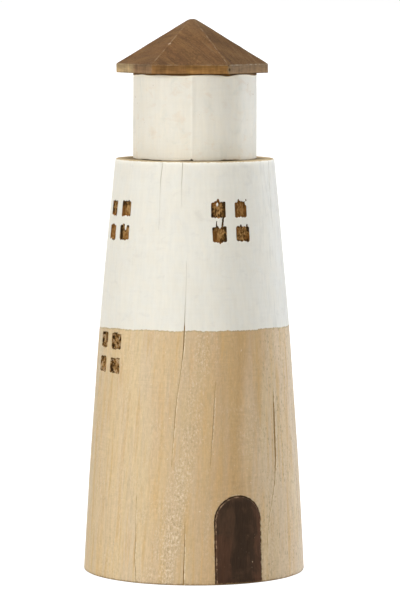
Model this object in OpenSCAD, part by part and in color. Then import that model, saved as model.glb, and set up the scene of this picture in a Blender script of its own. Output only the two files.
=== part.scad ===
// Wooden lighthouse ornament: a log tower, a lantern room and a hexagonal roof,
// three solid blocks glued end to end over two hidden dowel pins.
// The door faces -Y, +Z is up, and the origin is the centre of the foot.

/* [Tower] */
// Height of the tower block
tower_height = 254; // [200:1:320]
// Diameter of the tower at its foot
foot_diameter = 136.6; // [110:0.2:170]
// Diameter of the tower at its top
top_diameter = 98; // [88:0.2:108]
// How far the flank swells past a straight cone at mid height
flank_swell = 1.6; // [0:0.1:4]
// Width of the sanded arris round the foot and the top
tower_arris = 1; // [0.2:0.1:2]

/* [Lantern room] */
// Diameter of the lantern room
lantern_diameter = 76.4; // [60:0.2:84]
// Height of the lantern room
lantern_height = 52.5; // [46:0.5:80]
// Width of the arris round both ends of the lantern room
lantern_arris = 0.6; // [0.2:0.1:2]

/* [Roof] */
// Width of the hexagonal roof over opposite corners
roof_across_corners = 93.6; // [88:0.2:112]
// Height of the upright eaves band
eaves_height = 5.5; // [3:0.5:10]
// Height of the sloping part of the roof
roof_rise = 28; // [22:0.5:45]
// Width of the blunted tip over opposite corners
tip_width = 3; // [1:0.5:6]
// Turn of the roof's nearest corner from the door, towards +X
roof_turn = 3.7; // [-30:0.1:30]
// How far the roof block sits off the lantern room's axis, along X
roof_shift_x = -1.5; // [-2:0.1:2]
// How far the roof block sits off the lantern room's axis, along Y
roof_shift_y = 0.7; // [-2:0.1:2]

/* [Windows] */
// Width of one carved pane
pane_width = 9.2; // [7:0.1:11]
// Height of one carved pane
pane_height = 9.4; // [7:0.1:12]
// Depth of a carved pane at its middle
pane_depth = 1.8; // [0.8:0.1:3]
// Width of the wood left standing between two panes side by side
mullion_width = 5.8; // [3:0.1:8]
// Height of the wood left standing between two panes, one above the other
transom_height = 5.3; // [3:0.1:8]
// Turn from the door's column of windows to the first one beside it
window_turn = 85.7; // [70:0.1:100]
// Height of the middle of the upper windows
upper_window_height = 218; // [200:1:225]
// Height of the middle of the lower windows
lower_window_height = 137; // [90:1:150]

/* [Door] */
// Width of the door over its carved outline
door_width = 32.4; // [24:0.2:40]
// Height of the door over its carved outline
door_height = 54; // [40:0.5:70]
// Width of the carved outline
outline_width = 1.5; // [0.8:0.1:2.5]
// Depth of the carved outline
outline_depth = 1; // [0.4:0.1:2]

/* [Drying checks] */
// Depth of the drying checks in the tower's flank
check_depth = 5; // [2:0.5:12]

/* [Dowel pins] */
// Diameter of both dowel pins
pin_diameter = 10; // [6:0.5:14]
// Length of the pin between the tower and the lantern room
lower_pin_length = 50; // [30:1:56]
// Length of the pin between the lantern room and the roof
upper_pin_length = 40; // [20:1:44]
// Gap for glue all round a pin in its hole
glue_gap = 0.1; // [0.05:0.05:0.3]
// Depth of the glue well past each end of a pin
glue_well = 1.5; // [0.5:0.5:3]
// Depth of the flutes along a pin
flute_depth = 0.5; // [0.2:0.1:0.8]

/* [Hidden] */
$fn = 128;

// Heights of the glued joints between the three blocks.
lantern_base = tower_height;
roof_base = lantern_base + lantern_height;

// The tower's flank: a straight taper with a parabolic swell.
flank_steps = 10;
function flank_radius(z) =
    let (t = z / tower_height)
    foot_diameter / 2 + (top_diameter - foot_diameter) / 2 * t + 4 * flank_swell * t * (1 - t);
function flank_lean(z) = atan((flank_radius(z - 1) - flank_radius(z + 1)) / 2);

// Turn round the tower that spans an arc of the given length at a height.
function arc_turn(arc, z) = arc / flank_radius(z) * 180 / PI;

// Four columns of windows, turned from the door towards +X.
door_turn = 0;
window_columns = [door_turn, window_turn, 180, -window_turn];
pane_pitch = pane_width + mullion_width;
pane_rise = pane_height + transom_height;

// Drying checks: turn from the door, height of the low end, length, lean and widest gape.
checks = [
    [-32, 78, 112, 3.8, 1.1],
    [-33, 233, 42, 1, 0.7],
    [-48, 218, 50, 1, 0.5],
    [-13.6, 72, 50, 4.5, 0.5],
    [26.5, 56, 60, 3, 0.9],
    [42, 233, 44, 5, 0.6],
    [-56, -14, 60, -2, 0.7],
    [-29.4, -14, 46, 1.5, 0.6],
    [48.5, -10, 40, 0, 0.5],
    [121, 96, 118, 2, 1.0],
    [152, 208, 84, -2, 0.7],
    [-148, -20, 120, 1.5, 0.9],
    [-122, 60, 84, -2.5, 0.7],
    [208, 176, 60, 2, 0.6]
];

// Flutes and chamfers of a pin.
flute_count = 14;
flute_radius = 0.6;
pin_chamfer = 1;

// Puts its children on the tower's flank at a turn and a height, facing outwards.
module on_flank(turn, height, inset = 0) {
    rotate([0, 0, turn])
        translate([0, inset - flank_radius(height), height])
            rotate([-flank_lean(height), 0, 0])
                children();
}

// The tower before carving, or that shape taken in all round by an inset.
module turned_blank(inset = 0) {
    rotate_extrude()
        polygon(concat(
            [[0, 0], [flank_radius(0) - inset - tower_arris, 0]],
            [for (i = [0 : flank_steps])
                let (z = tower_arris + i * (tower_height - 2 * tower_arris) / flank_steps)
                [flank_radius(z) - inset, z]],
            [[flank_radius(tower_height) - inset - tower_arris, tower_height],
             [0, tower_height]]
        ));
}

// One window: two panes by two, each facing straight out of the flank.
module window_panes(turn, middle) {
    for (side = [-0.5, 0.5], level = [-0.5, 0.5]) {
        height = middle + level * pane_rise;
        on_flank(turn + arc_turn(side * pane_pitch, height), height)
            cube([pane_width, 2 * pane_depth, pane_height], center = true);
    }
}

// The windows of every column, with no lower one over the door.
module windows() {
    for (turn = window_columns) {
        window_panes(turn, upper_window_height);
        if (turn != door_turn) window_panes(turn, lower_window_height);
    }
}

// A round-headed shape standing on the X axis, run a little below it.
module arch(width, height) {
    translate([0, height - width / 2]) circle(d = width);
    translate([-width / 2, -tower_arris]) square([width, height - width / 2 + tower_arris]);
}

// The carved line round the door, cut to an even depth into the flank.
module door_outline() {
    difference() {
        rotate([90, 0, door_turn])
            linear_extrude(foot_diameter / 2 + 1)
                difference() {
                    arch(door_width, door_height);
                    arch(door_width - 2 * outline_width, door_height - outline_width);
                }
        turned_blank(outline_depth);
    }
}

// A split opened by drying: widest at its middle and closed at both ends.
module drying_check(turn, low, length, lean, gape) {
    on_flank(turn, low + length / 2, check_depth)
        rotate([90, lean, 0])
            linear_extrude(2 * check_depth)
                polygon([[0, -length / 2], [gape / 2, 0], [0, length / 2], [-gape / 2, 0]]);
}

// A blind hole for half of a dowel pin.
module pin_hole(pin_length) {
    cylinder(d = pin_diameter + 2 * glue_gap, h = pin_length / 2 + glue_well);
}

// A fluted pin with chamfered ends, centred on the joint that it holds.
module dowel_pin(pin_length) {
    difference() {
        rotate_extrude()
            polygon([
                [0, -pin_length / 2],
                [pin_diameter / 2 - pin_chamfer, -pin_length / 2],
                [pin_diameter / 2, pin_chamfer - pin_length / 2],
                [pin_diameter / 2, pin_length / 2 - pin_chamfer],
                [pin_diameter / 2 - pin_chamfer, pin_length / 2],
                [0, pin_length / 2]
            ]);
        for (i = [0 : flute_count - 1])
            rotate([0, 0, i * 360 / flute_count])
                translate([pin_diameter / 2 + flute_radius - flute_depth, 0, 0])
                    cylinder(r = flute_radius, h = pin_length + 2, center = true);
    }
}

module tower() {
    color("burlywood")
        difference() {
            turned_blank();
            windows();
            door_outline();
            for (check = checks)
                drying_check(check[0], check[1], check[2], check[3], check[4]);
            translate([0, 0, tower_height]) mirror([0, 0, 1]) pin_hole(lower_pin_length);
        }
}

// The lantern room's section, up one side.
module lantern_section() {
    polygon([
        [0, 0],
        [lantern_diameter / 2 - lantern_arris, 0],
        [lantern_diameter / 2, lantern_arris],
        [lantern_diameter / 2, lantern_height - lantern_arris],
        [lantern_diameter / 2 - lantern_arris, lantern_height],
        [0, lantern_height]
    ]);
}

module lantern_room() {
    color("ivory")
        translate([0, 0, lantern_base])
            difference() {
                rotate_extrude() lantern_section();
                pin_hole(lower_pin_length);
                translate([0, 0, lantern_height]) mirror([0, 0, 1]) pin_hole(upper_pin_length);
            }
}

module roof() {
    color("saddlebrown")
        difference() {
            translate([roof_shift_x, roof_shift_y, roof_base])
                rotate([0, 0, roof_turn - 90]) {
                    cylinder(d = roof_across_corners, h = eaves_height, $fn = 6);
                    translate([0, 0, eaves_height])
                        cylinder(d1 = roof_across_corners, d2 = tip_width, h = roof_rise, $fn = 6);
                }
            translate([0, 0, roof_base]) pin_hole(upper_pin_length);
        }
}

module lower_dowel() {
    color("wheat") translate([0, 0, lantern_base]) dowel_pin(lower_pin_length);
}

module upper_dowel() {
    color("wheat") translate([0, 0, roof_base]) dowel_pin(upper_pin_length);
}

tower();
lantern_room();
roof();
lower_dowel();
upper_dowel();
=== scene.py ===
"""Looks of the wooden lighthouse ornament: a carved log tower, a lantern room and a hexagonal roof.

Meshes are shaped in millimetres and scaled to metres at the end. A place on the tower is given by its
turn, in degrees from the door towards +X, and its height above the foot.
"""
import math
import random

import bmesh
import bpy
from mathutils import Matrix, Vector, noise


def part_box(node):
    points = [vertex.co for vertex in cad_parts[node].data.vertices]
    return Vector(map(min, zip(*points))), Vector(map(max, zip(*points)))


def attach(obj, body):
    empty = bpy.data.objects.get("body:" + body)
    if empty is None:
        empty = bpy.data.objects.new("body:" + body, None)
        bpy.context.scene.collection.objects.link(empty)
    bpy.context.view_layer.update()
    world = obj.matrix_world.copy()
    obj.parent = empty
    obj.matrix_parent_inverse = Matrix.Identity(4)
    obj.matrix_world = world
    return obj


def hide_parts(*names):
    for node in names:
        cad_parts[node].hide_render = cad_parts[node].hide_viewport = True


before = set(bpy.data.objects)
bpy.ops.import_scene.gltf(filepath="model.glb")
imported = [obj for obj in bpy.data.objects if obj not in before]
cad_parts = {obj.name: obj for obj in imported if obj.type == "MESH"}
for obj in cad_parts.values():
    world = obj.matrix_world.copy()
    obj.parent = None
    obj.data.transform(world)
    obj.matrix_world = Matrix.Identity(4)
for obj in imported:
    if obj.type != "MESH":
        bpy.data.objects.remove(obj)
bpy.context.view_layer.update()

bl_info = {
    "name": "Wooden Lighthouse",
    "version": (1, 0, 0),
    "blender": (4, 5, 0),
    "location": "View3D > Sidebar > Lighthouse",
    "description": "Carves, paints and lights a wooden lighthouse ornament",
    "category": "Add Mesh",
}

BODY = "root"
MM = 0.001
TURN = math.tau

# How far the hole of a dowel pin stands off it, and how deep its glue well is past the pin's end.
HOLE_GAP = 0.15
WELL = 1.5

# Grain lines that opened as the log dried, as (height, turn, gape) points up the tower, round from behind.
GRAIN_LINES = (
    ((0, -149, 0.6), (40, -148, 0.9), (100, -146, 0), (176, -151, 0), (206, -150.5, 0.6), (236, -150, 0),
     (254, -150, 0)),
    ((0, -120, 0), (60, -120.5, 0), (102, -122, 0.7), (144, -123.5, 0), (254, -124, 0)),
    ((0, -55, 0.4), (15, -56.4, 0.4), (27, -56.2, 0.4), (45, -56.6, 0.2), (52, -56.6, 0), (140, -52, 0),
     (214, -48.5, 0), (222, -48.5, 0.25), (242, -48.6, 0.35), (254, -47.6, 0.45)),
    ((0, -37.3, 0), (72, -36.6, 0), (78, -36.3, 0.3), (98, -35.3, 0.45), (112, -34.2, 0.4),
     (118, -33.4, 0.15), (132, -31.6, 0.3), (143, -30.6, 0.6), (154, -30.3, 0.8), (162, -30.2, 0.5),
     (175, -29.6, 0.35), (189, -29.3, 0.2), (194, -29.6, 0), (229, -33, 0), (236, -33.3, 0.35),
     (254, -32.9, 0.6)),
    ((0, -29.7, 0.6), (15, -29.4, 0.6), (30, -29, 0.3), (37, -29, 0), (120, -25, 0), (254, -25, 0)),
    ((0, -17.6, 0), (54, -17, 0), (72, -15.6, 0), (92, -14.1, 0.45), (110, -12.9, 0.4), (122, -12.1, 0),
     (190, -16, 0), (254, -17, 0)),
    ((0, 17, 0), (22, 17.3, 0), (28, 17.8, 0.2), (39, 19.7, 0.35), (60, 25, 0.6), (74, 26.6, 1.5),
     (88, 26.9, 1.9), (101, 27.2, 1.6), (114, 27.5, 0.8), (117, 27.5, 0), (254, 28, 0)),
    ((0, 48.7, 0.4), (9, 48.7, 0.5), (27, 48.5, 0.4), (40, 48.5, 0), (120, 44, 0), (214, 39.2, 0),
     (225, 39.4, 0.35), (239, 40.2, 0.65), (254, 42.8, 0.7)),
    ((0, 118, 0), (96, 120.5, 0), (155, 122, 1), (214, 124.5, 0), (254, 125, 0)),
    ((0, 152, 0), (208, 152, 0), (236, 150.6, 0.5), (254, 149.5, 0.7)),
)


# ---------------------------------------------------------------- settings

def length(name, millimetres, description):
    """A size that the user can set, shown in the scene's own units."""
    return bpy.props.FloatProperty(
        name=name, description=description, default=millimetres * MM, min=0, unit="LENGTH", precision=4)


def angle(name, degrees, description):
    """An angle that the user can set."""
    return bpy.props.FloatProperty(
        name=name, description=description, default=math.radians(degrees), unit="ROTATION")


def colour(name, value, description):
    """A colour that the user can set."""
    return bpy.props.FloatVectorProperty(
        name=name, description=description, default=value, size=3, subtype="COLOR", min=0, max=1)


def number(name, value, description):
    """A plain number that the user can set."""
    return bpy.props.FloatProperty(name=name, description=description, default=value)


class TowerSettings(bpy.types.PropertyGroup):
    """Sizes of the log tower and its carving."""
    top_diameter: length("Top Diameter", 98, "Diameter of the tower at its top")
    swell: length("Swell", 1.6, "How far the flank swells past a straight cone")
    arris: length("Arris", 0.9, "Width of the sanded edge round the foot and the top")
    paint_height: length("Paint Height", 151.6, "Height of the lower edge of the white paint")
    pane_width: length("Pane Width", 9.2, "Width of one carved pane")
    pane_height: length("Pane Height", 9.4, "Height of one carved pane")
    pane_depth: length("Pane Depth", 1.8, "Depth of the deepest gouge strokes")
    mullion: length("Mullion", 5.8, "Wood left between two panes side by side")
    transom: length("Transom", 5.3, "Wood left between two panes, one above the other")
    upper_windows: length("Upper Windows", 218, "Height of the middle of the upper windows")
    lower_windows: length("Lower Windows", 137, "Height of the middle of the lower windows")
    window_turn: angle("Window Turn", 85.7, "Turn from the door to the next column of windows")
    door_width: length("Door Width", 32.4, "Width of the door over its carved outline")
    door_height: length("Door Height", 54, "Height of the door over its carved outline")
    outline_width: length("Outline Width", 1.5, "Width of the line carved round the door")
    outline_depth: length("Outline Depth", 1, "Depth of the line carved round the door")
    check_depth: length("Check Depth", 4.5, "Depth of the widest drying checks")


class LanternSettings(bpy.types.PropertyGroup):
    """Sizes of the lantern room's worn edges."""
    arris: length("Arris", 0.6, "Least width of the worn edge at both ends")
    chip: length("Chip", 1.1, "Greatest further height lost to chips along both edges")
    flat: length("Flat", 0.25, "How deep the planed flats cut into the round")
    ridge: length("Ridge", 0.4, "How far the ridge between two flats stands out")
    ridge_turn: angle("Ridge Turn", -27, "Turn of that ridge from the door")


class RoofSettings(bpy.types.PropertyGroup):
    """Sizes of the hexagonal roof."""
    eaves: length("Eaves", 5.5, "Height of the upright band round the eaves")
    tip: length("Tip", 2.9, "Radius over which the tip is rounded")
    apex: length("Apex", 0.65, "How far above the roof its slopes would meet")
    wear: length("Wear", 0.35, "How far the corners are worn back")
    turn: angle("Turn", 3.7, "Turn of the corner nearest the door")


class StageSettings(bpy.types.PropertyGroup):
    """Camera and lights."""
    camera_turn: angle("Camera Turn", -24.3, "Turn of the camera from the door")
    camera_distance: length("Camera Distance", 2242, "Level distance from the ornament's axis to the lens")
    camera_height: length("Camera Height", 362, "Height of the lens above the foot")
    pitch: angle("Pitch", 4.98, "How far the camera looks down")
    aim: angle("Aim", 0.087, "How far the camera looks past the axis")
    roll: angle("Roll", 0.13, "Roll of the camera")
    lens: number("Lens", 219.2, "Focal length in millimetres")


# ---------------------------------------------------------------- mesh helpers

def polar(radius, turn, height):
    """A point at a radius, a turn in degrees from the door and a height."""
    return Vector((radius * math.sin(math.radians(turn)), -radius * math.cos(math.radians(turn)), height))


def turn_of(point):
    """The turn of a point from the door, in degrees from -180 to 180."""
    return math.degrees(math.atan2(point.x, -point.y))


def turn_between(first, second):
    """The shortest turn from the second to the first."""
    return (first - second + 180) % 360 - 180


def blend_range(value, low, high):
    """0 below the low limit, 1 above the high one and a smooth step between."""
    share = min(max((value - low) / (high - low), 0), 1)
    return share * share * (3 - 2 * share)


def along(points, height):
    """The values of a line of (height, value, ...) points at a height."""
    for lower, upper in zip(points, points[1:]):
        if height <= upper[0]:
            share = (height - lower[0]) / (upper[0] - lower[0])
            return [a + (b - a) * max(share, 0) for a, b in zip(lower[1:], upper[1:])]
    return list(points[-1][1:])


def rough(point, size, seed=0):
    """Smooth noise of about -1 to 1 at a point, with features of a given size."""
    return 1.6 * noise.noise(Vector(point) / size + Vector((seed * 7.3, seed * 3.1, seed * 5.7)))


def box_of(node):
    """A CAD node's lowest and highest corners in millimetres."""
    low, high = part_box(node)
    return low / MM, high / MM


def pin_hole(node):
    """The radius of a dowel pin's hole, and the heights of its lower and upper ends."""
    low, high = box_of(node)
    return (high.x - low.x) / 2 + HOLE_GAP, low.z - WELL, high.z + WELL


def link_new(name, data):
    """A new object in the scene."""
    made = bpy.data.objects.new(name, data)
    bpy.context.scene.collection.objects.link(made)
    return made


def spin_profile(bm, profile, steps):
    """Spins a line of (radius, height) points and says which column each vertex is in."""
    rim = [bm.verts.new((radius, 0, height)) for radius, height in profile]
    edges = [bm.edges.new(pair) for pair in zip(rim, rim[1:])]
    bmesh.ops.spin(
        bm, geom=rim + edges, cent=(0, 0, 0), axis=(0, 0, 1), angle=TURN, steps=steps, use_merge=True)
    bmesh.ops.remove_doubles(bm, verts=bm.verts, dist=1e-4)
    return {vert: round(math.atan2(vert.co.y, vert.co.x) / TURN * steps) % steps for vert in bm.verts}


def close_ends(bm):
    """Closes the two open ends of a spun shape and turns its faces outwards."""
    open_edges = [edge for edge in bm.edges if edge.is_boundary]
    bmesh.ops.holes_fill(bm, edges=open_edges, sides=0)
    bmesh.ops.recalc_face_normals(bm, faces=bm.faces)


def finish_piece(bm, name, node, material, crease_degrees):
    """Makes the finished object of a bmesh, on the ornament's one body and in its CAD node's place."""
    bmesh.ops.scale(bm, vec=(MM, MM, MM), verts=bm.verts)
    mesh = bpy.data.meshes.new(name)
    for face in bm.faces:
        face.smooth = True
    bm.to_mesh(mesh)
    bm.free()
    mesh.set_sharp_from_angle(angle=math.radians(crease_degrees))
    mesh.materials.append(material)
    piece = link_new(name, mesh)
    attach(piece, BODY)
    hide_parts(node)


# ---------------------------------------------------------------- carving

class Stroke:
    """One pull of a gouge: a groove with a round floor that fades in and out at its ends."""

    def __init__(self, across, low, high, width, depth, lean, fade):
        self.across = across
        self.low = low
        self.high = high
        self.width = width
        self.depth = depth
        self.lean = lean
        self.fade = fade

    def cut(self, across, up):
        """The depth that the stroke cuts at a place on the flank."""
        if not self.low < up < self.high:
            return 0
        ends = min(1, (up - self.low) / self.fade, (self.high - up) / self.fade)
        half_width = self.width / 2 * math.sqrt(ends)
        offset = abs(across - self.across - self.lean * (up - (self.low + self.high) / 2)) / half_width
        if offset >= 1:
            return 0
        return self.depth * ends ** 0.6 * (1 - offset ** 3)


class Pane:
    """One carved pane: gouge strokes side by side, slips of the gouge and slivers left standing."""

    least_depth = 0.12

    def __init__(self, turn, height, width, tall, depth, seed, stories):
        draw = random.Random(seed)
        self.turn = turn
        self.height = height
        self.half = width / 2, tall / 2
        self.reach = width / 2 + 0.9, tall / 2 + 2.6
        self.seed = seed
        self.strokes = []
        self.slivers = []
        count = draw.choice((4, 5))
        pitch = width / count
        for place in range(count):
            across = (place + 0.5) * pitch - width / 2
            highest_end = 0.2 if place in (0, count - 1) else 0.7
            self.strokes.append(Stroke(
                across + draw.uniform(-0.15, 0.15),
                -tall / 2 - draw.uniform(-0.35, 0.5),
                tall / 2 + draw.uniform(-0.4, highest_end),
                pitch * draw.uniform(1.25, 1.45),
                depth * draw.uniform(0.75, 1),
                draw.uniform(-0.05, 0.05),
                draw.uniform(0.4, 1.2),
            ))
        for kind, *numbers in stories:
            if kind == "slip":
                self.strokes.append(Stroke(*numbers))
                self.reach = self.reach[0], max(self.reach[1], abs(numbers[1]), abs(numbers[2]))
            else:
                self.slivers.append(Stroke(*numbers))
        self.slant = draw.choice((-1, 1)) * draw.uniform(0.5, 1.1)

    def cut(self, across, up):
        """The depth of the pane at a place beside its middle."""
        deepest = max(stroke.cut(across, up) for stroke in self.strokes)
        deepest -= sum(sliver.cut(across, up) for sliver in self.slivers)
        if deepest <= 0:
            return 0
        ridges = Vector((0.7 * (across - self.slant * up), 0.3 * (up + self.slant * across), self.seed))
        return max(deepest * (1 + 0.5 * noise.noise(ridges)), self.least_depth)

    def edge(self, across, up):
        """How near a place is to the pane's rim, from 0 inside to 1 at the rim and in the corners."""
        sideways = abs(across) / self.half[0]
        level = abs(up) / self.half[1]
        ragged = 0.22 * noise.noise(Vector((0.8 * across, 0.8 * up, self.seed + 5)))
        rim = blend_range(max(sideways, level) + ragged, 0.62, 1.05)
        corner = blend_range(sideways * level + ragged, 0.3, 0.75)
        return min(0.7 * rim + 0.6 * corner, 1)


# Slips of the gouge, and slivers left standing, as (kind, across, low, high, width, depth, lean, fade).
# A window is known by its column and its storey from the top. Its panes are the upper left one, the upper
# right, the lower left and the lower right.
SPECIAL_PANES = {
    (0, 0): (
        (("slip", 2.7, -10.4, -3.5, 1.2, 1, 0.13, 0.8), ("slip", -0.1, 3, 6.7, 2.2, 1.2, 0, 1.8),
         ("sliver", -0.6, 1.6, 4.8, 1.7, 3, 0.1, 1.3)),
        (("slip", -1.6, 3, 6.3, 1.1, 1, 0.1, 0.9), ("slip", 4, 4.8, 5.9, 0.9, 0.9, 0, 0.4),
         ("sliver", 4.2, 1.5, 4.9, 2.6, 3, -0.35, 1),
         ("sliver", -3, 4, 7, 2, 3, 0, 0.8)),
        (("slip", -1.9, 3.6, 8.4, 0.8, 1.3, 0.12, 0.8), ("sliver", -0.4, 2.9, 9, 2.9, 3, -0.2, 2.4),
         ("slip", 0.2, -5.9, -3, 1.9, 1.2, 0, 1.3)),
        (("slip", -1.4, 3, 5.7, 1.2, 1, 0, 0.8), ("slip", 3, 3, 5.8, 1.2, 1, 0.1, 0.8),
         ("sliver", -2.5, -7, -4, 2, 3, 0, 1)),
    ),
    (3, 0): (
        (),
        (("sliver", 0.5, 4.2, 7, 3, 3, 0, 1),),
        (),
        (("sliver", 1.3, 0.5, 7, 2.4, 3, 0.1, 3.2),),
    ),
}

# How the panes of a window strayed from their marks, as (across, up, wider), in the same order.
STRAY_PANES = {
    (0, 0): ((0, 0, -0.7), (0, 0, -1.3), (0.5, 0, -1), (1.1, 0, -0.3)),
    (3, 0): ((-0.9, -0.8, -0.5), (0, -0.3, -0.7), (-0.5, -0.8, 0), (-0.3, 0, -0.7)),
}


def window_panes(settings):
    """Every pane of every window, with the slips and strays of the hand that carved them."""
    columns = (0, math.degrees(settings.window_turn), 180, -math.degrees(settings.window_turn))
    flank = Flank(settings)
    panes = []
    for column, turn in enumerate(columns):
        middles = (settings.upper_windows, settings.lower_windows)
        for storey, middle in enumerate(middles[:1] if column == 0 else middles):
            stories = SPECIAL_PANES.get((column, storey), ((), (), (), ()))
            strays = STRAY_PANES.get((column, storey), ((0, 0, 0),) * 4)
            places = [(level, side) for level in (0.5, -0.5) for side in (-0.5, 0.5)]
            for place, (level, side) in enumerate(places):
                across, up, wider = strays[place]
                height = (middle + level * (settings.pane_height + settings.transom)) / MM + up
                offset = side * (settings.pane_width + settings.mullion) / MM + across
                panes.append(Pane(
                    turn + math.degrees(offset / flank.radius(height)),
                    height,
                    settings.pane_width / MM + wider,
                    settings.pane_height / MM,
                    settings.pane_depth / MM,
                    100 * column + 20 * storey + place,
                    stories[place],
                ))
    return panes


class Flank:
    """The tower's turned shape, and the distance to the door's outline on it."""

    def __init__(self, settings):
        low, high = box_of("tower")
        self.height = high.z
        self.foot = (high.x - low.x) / 2
        self.top = settings.top_diameter / MM / 2
        self.swell = settings.swell / MM
        self.line = settings.outline_width / MM
        self.door_half = (settings.door_width / MM - self.line) / 2
        self.door_top = settings.door_height / MM - self.line / 2

    def radius(self, height):
        """Radius of the flank at a height."""
        share = height / self.height
        return self.foot + (self.top - self.foot) * share + 4 * self.swell * share * (1 - share)

    def door_distance(self, turn, height):
        """Distance outwards from the middle of the line carved round the door."""
        across = abs(math.radians(turn_between(turn, 0)) * self.radius(height))
        spring = self.door_top - self.door_half
        if height > spring:
            return math.hypot(across, height - spring) - self.door_half
        return across - self.door_half


class TowerCarver:
    """Shapes the tower: a turned log with drying checks, then the panes and the door's outline."""

    # Columns and rows of the spun log, and how finely its faces are cut where there is carving.
    steps = 240
    row_height = 2.4
    end_insets = (9, 5.5, 2.6)
    detail_cuts = 5
    # How far that reaches in from the flank, past the line round the door, and beside and over a pane.
    skin = 6
    outline_reach = 1.6
    pane_margin = (0.9, 0.6)
    # Half the width of a closed grain line, and from a lip to its shoulder.
    closed_lip = 0.16
    shoulder = 1.1
    # The greatest depth that still belongs to the flank, and the least that counts as one.
    flank_depth = 4
    least_inset = 0.06
    # The flank's waves: their height, their length and how far they are set back.
    wave = 0.22
    wave_length = 16
    set_back = 0.15
    # The greatest distance from the door's outline that is marked.
    door_reach = 4

    def __init__(self, settings):
        self.settings = settings
        self.flank = Flank(settings)
        self.panes = window_panes(settings)
        self.columns = self.share_columns()

    def profile(self):
        """The turned profile from under the foot round to the pin's hole, as (radius, height) points."""
        top = self.flank.height
        edge = self.settings.arris / MM
        hole, hole_floor, _ = pin_hole("lower_dowel")
        rows = [(14, 0), (40, 0)]
        rows += [(self.flank.radius(0) - inset, 0) for inset in (*self.end_insets, edge)]
        rows.append((self.flank.radius(0) - 0.3 * edge, 0.3 * edge))
        count = round((top - 2 * edge) / self.row_height)
        for row in range(count + 1):
            height = edge + row * (top - 2 * edge) / count
            rows.append((self.flank.radius(height), height))
        rows.append((self.flank.radius(top) - 0.3 * edge, top - 0.3 * edge))
        rows += [(self.flank.radius(top) - inset, top) for inset in (edge, *reversed(self.end_insets))]
        rows += [(30, top), (hole, top), (hole, hole_floor)]
        return rows

    def share_columns(self):
        """For each column, the grain line before it, and its place in the check or its share of the gap."""
        middle = self.flank.height / 2
        turns = [along(line, middle)[0] for line in GRAIN_LINES]
        spare = self.steps - 5 * len(turns)
        gaps = [(turns[(i + 1) % len(turns)] - turn) % 360 for i, turn in enumerate(turns)]
        ends = [round(sum(gaps[:i + 1]) / 360 * spare) for i in range(len(gaps))]
        columns = []
        for line, (start, end) in enumerate(zip([0] + ends, ends)):
            columns += [(line, "check", place) for place in (-2, -1, 0, 1, 2)]
            columns += [(line, "gap", (i + 1) / (end - start + 1)) for i in range(end - start)]
        return columns

    def line_place(self, line, height):
        """Turn of a grain line at a height, the degrees from it to its lips and shoulders, and its gape."""
        height = min(max(height, 0), self.flank.height)
        turn, gape = along(GRAIN_LINES[line], height)
        jitter = rough((line * 9, height, 0), 5)
        gape = max(gape * (1 + 0.25 * rough((line * 4, 0, height), 3)), 0)
        degrees = math.degrees(1 / self.flank.radius(height))
        lip = max(gape / 2, self.closed_lip)
        return turn + 0.1 * jitter * degrees, lip * degrees, (lip + self.shoulder) * degrees, gape

    def column_turn(self, column, height):
        """Turn of a column of vertices at a height, and the check's gape if it is its floor or right lip."""
        line, kind, place = self.columns[column]
        turn, lip, shoulder, gape = self.line_place(line, height)
        if kind == "check":
            offset = {0: 0, 1: lip, 2: shoulder}[abs(place)]
            return turn + math.copysign(offset, place), gape if place == 0 else 0, gape if place == 1 else 0
        following = (line + 1) % len(GRAIN_LINES)
        next_turn, _, next_shoulder, _ = self.line_place(following, height)
        start = turn + shoulder
        span = (next_turn - next_shoulder - start) % 360
        return start + place * span, 0, 0

    def place_column(self, vert, column, checks, lips):
        """Moves one vertex of the spun log to its column and sinks it if a check is open there."""
        radius = math.hypot(vert.co.x, vert.co.y)
        # The third value marks the check's right lip, which the finish paints pale as a highlight of its lit
        # wall.
        turn, gape, lime_and_lip_light = self.column_turn(column, vert.co.z)
        vert[lips] = min(2 * lime_and_lip_light, 1)
        depth = min(self.settings.check_depth / MM, 1.3 * gape)
        rim = self.flank.radius(vert.co.z)
        if depth > 0 and radius > rim - depth:
            inset = rim - radius
            radius = rim - depth - 0.03 * inset
            vert[checks] = 1
        vert.co = polar(radius, turn, vert.co.z)

    def wants_detail(self, point):
        """Whether carving passes near a point."""
        turn = turn_of(point)
        if abs(self.flank.door_distance(turn, point.z)) < self.outline_reach:
            return True
        radius = self.flank.radius(point.z)
        for pane in self.panes:
            across = math.radians(turn_between(turn, pane.turn)) * radius
            beside, over = [reach + margin for reach, margin in zip(pane.reach, self.pane_margin)]
            if abs(across) < beside and abs(point.z - pane.height) < over:
                return True
        return False

    def pane_cut(self, turn, height):
        """Depth of the panes at a place on the flank, and how near it is to a pane's rim."""
        radius = self.flank.radius(height)
        deepest, edge = 0, 0
        for pane in self.panes:
            up = height - pane.height
            across = math.radians(turn_between(turn, pane.turn)) * radius
            if abs(up) < pane.reach[1] and abs(across) < pane.reach[0]:
                cut = pane.cut(across, up)
                if cut > deepest:
                    deepest, edge = cut, pane.edge(across, up)
        return deepest, edge

    def outline_depth(self, distance, point):
        """Depth of the line round the door at a distance from its middle."""
        uneven = 1 + 0.22 * rough(point, 4, 3)
        half = self.flank.line / 2 * uneven
        return self.settings.outline_depth / MM * uneven * max(1 - abs(distance) / half, 0)

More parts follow.
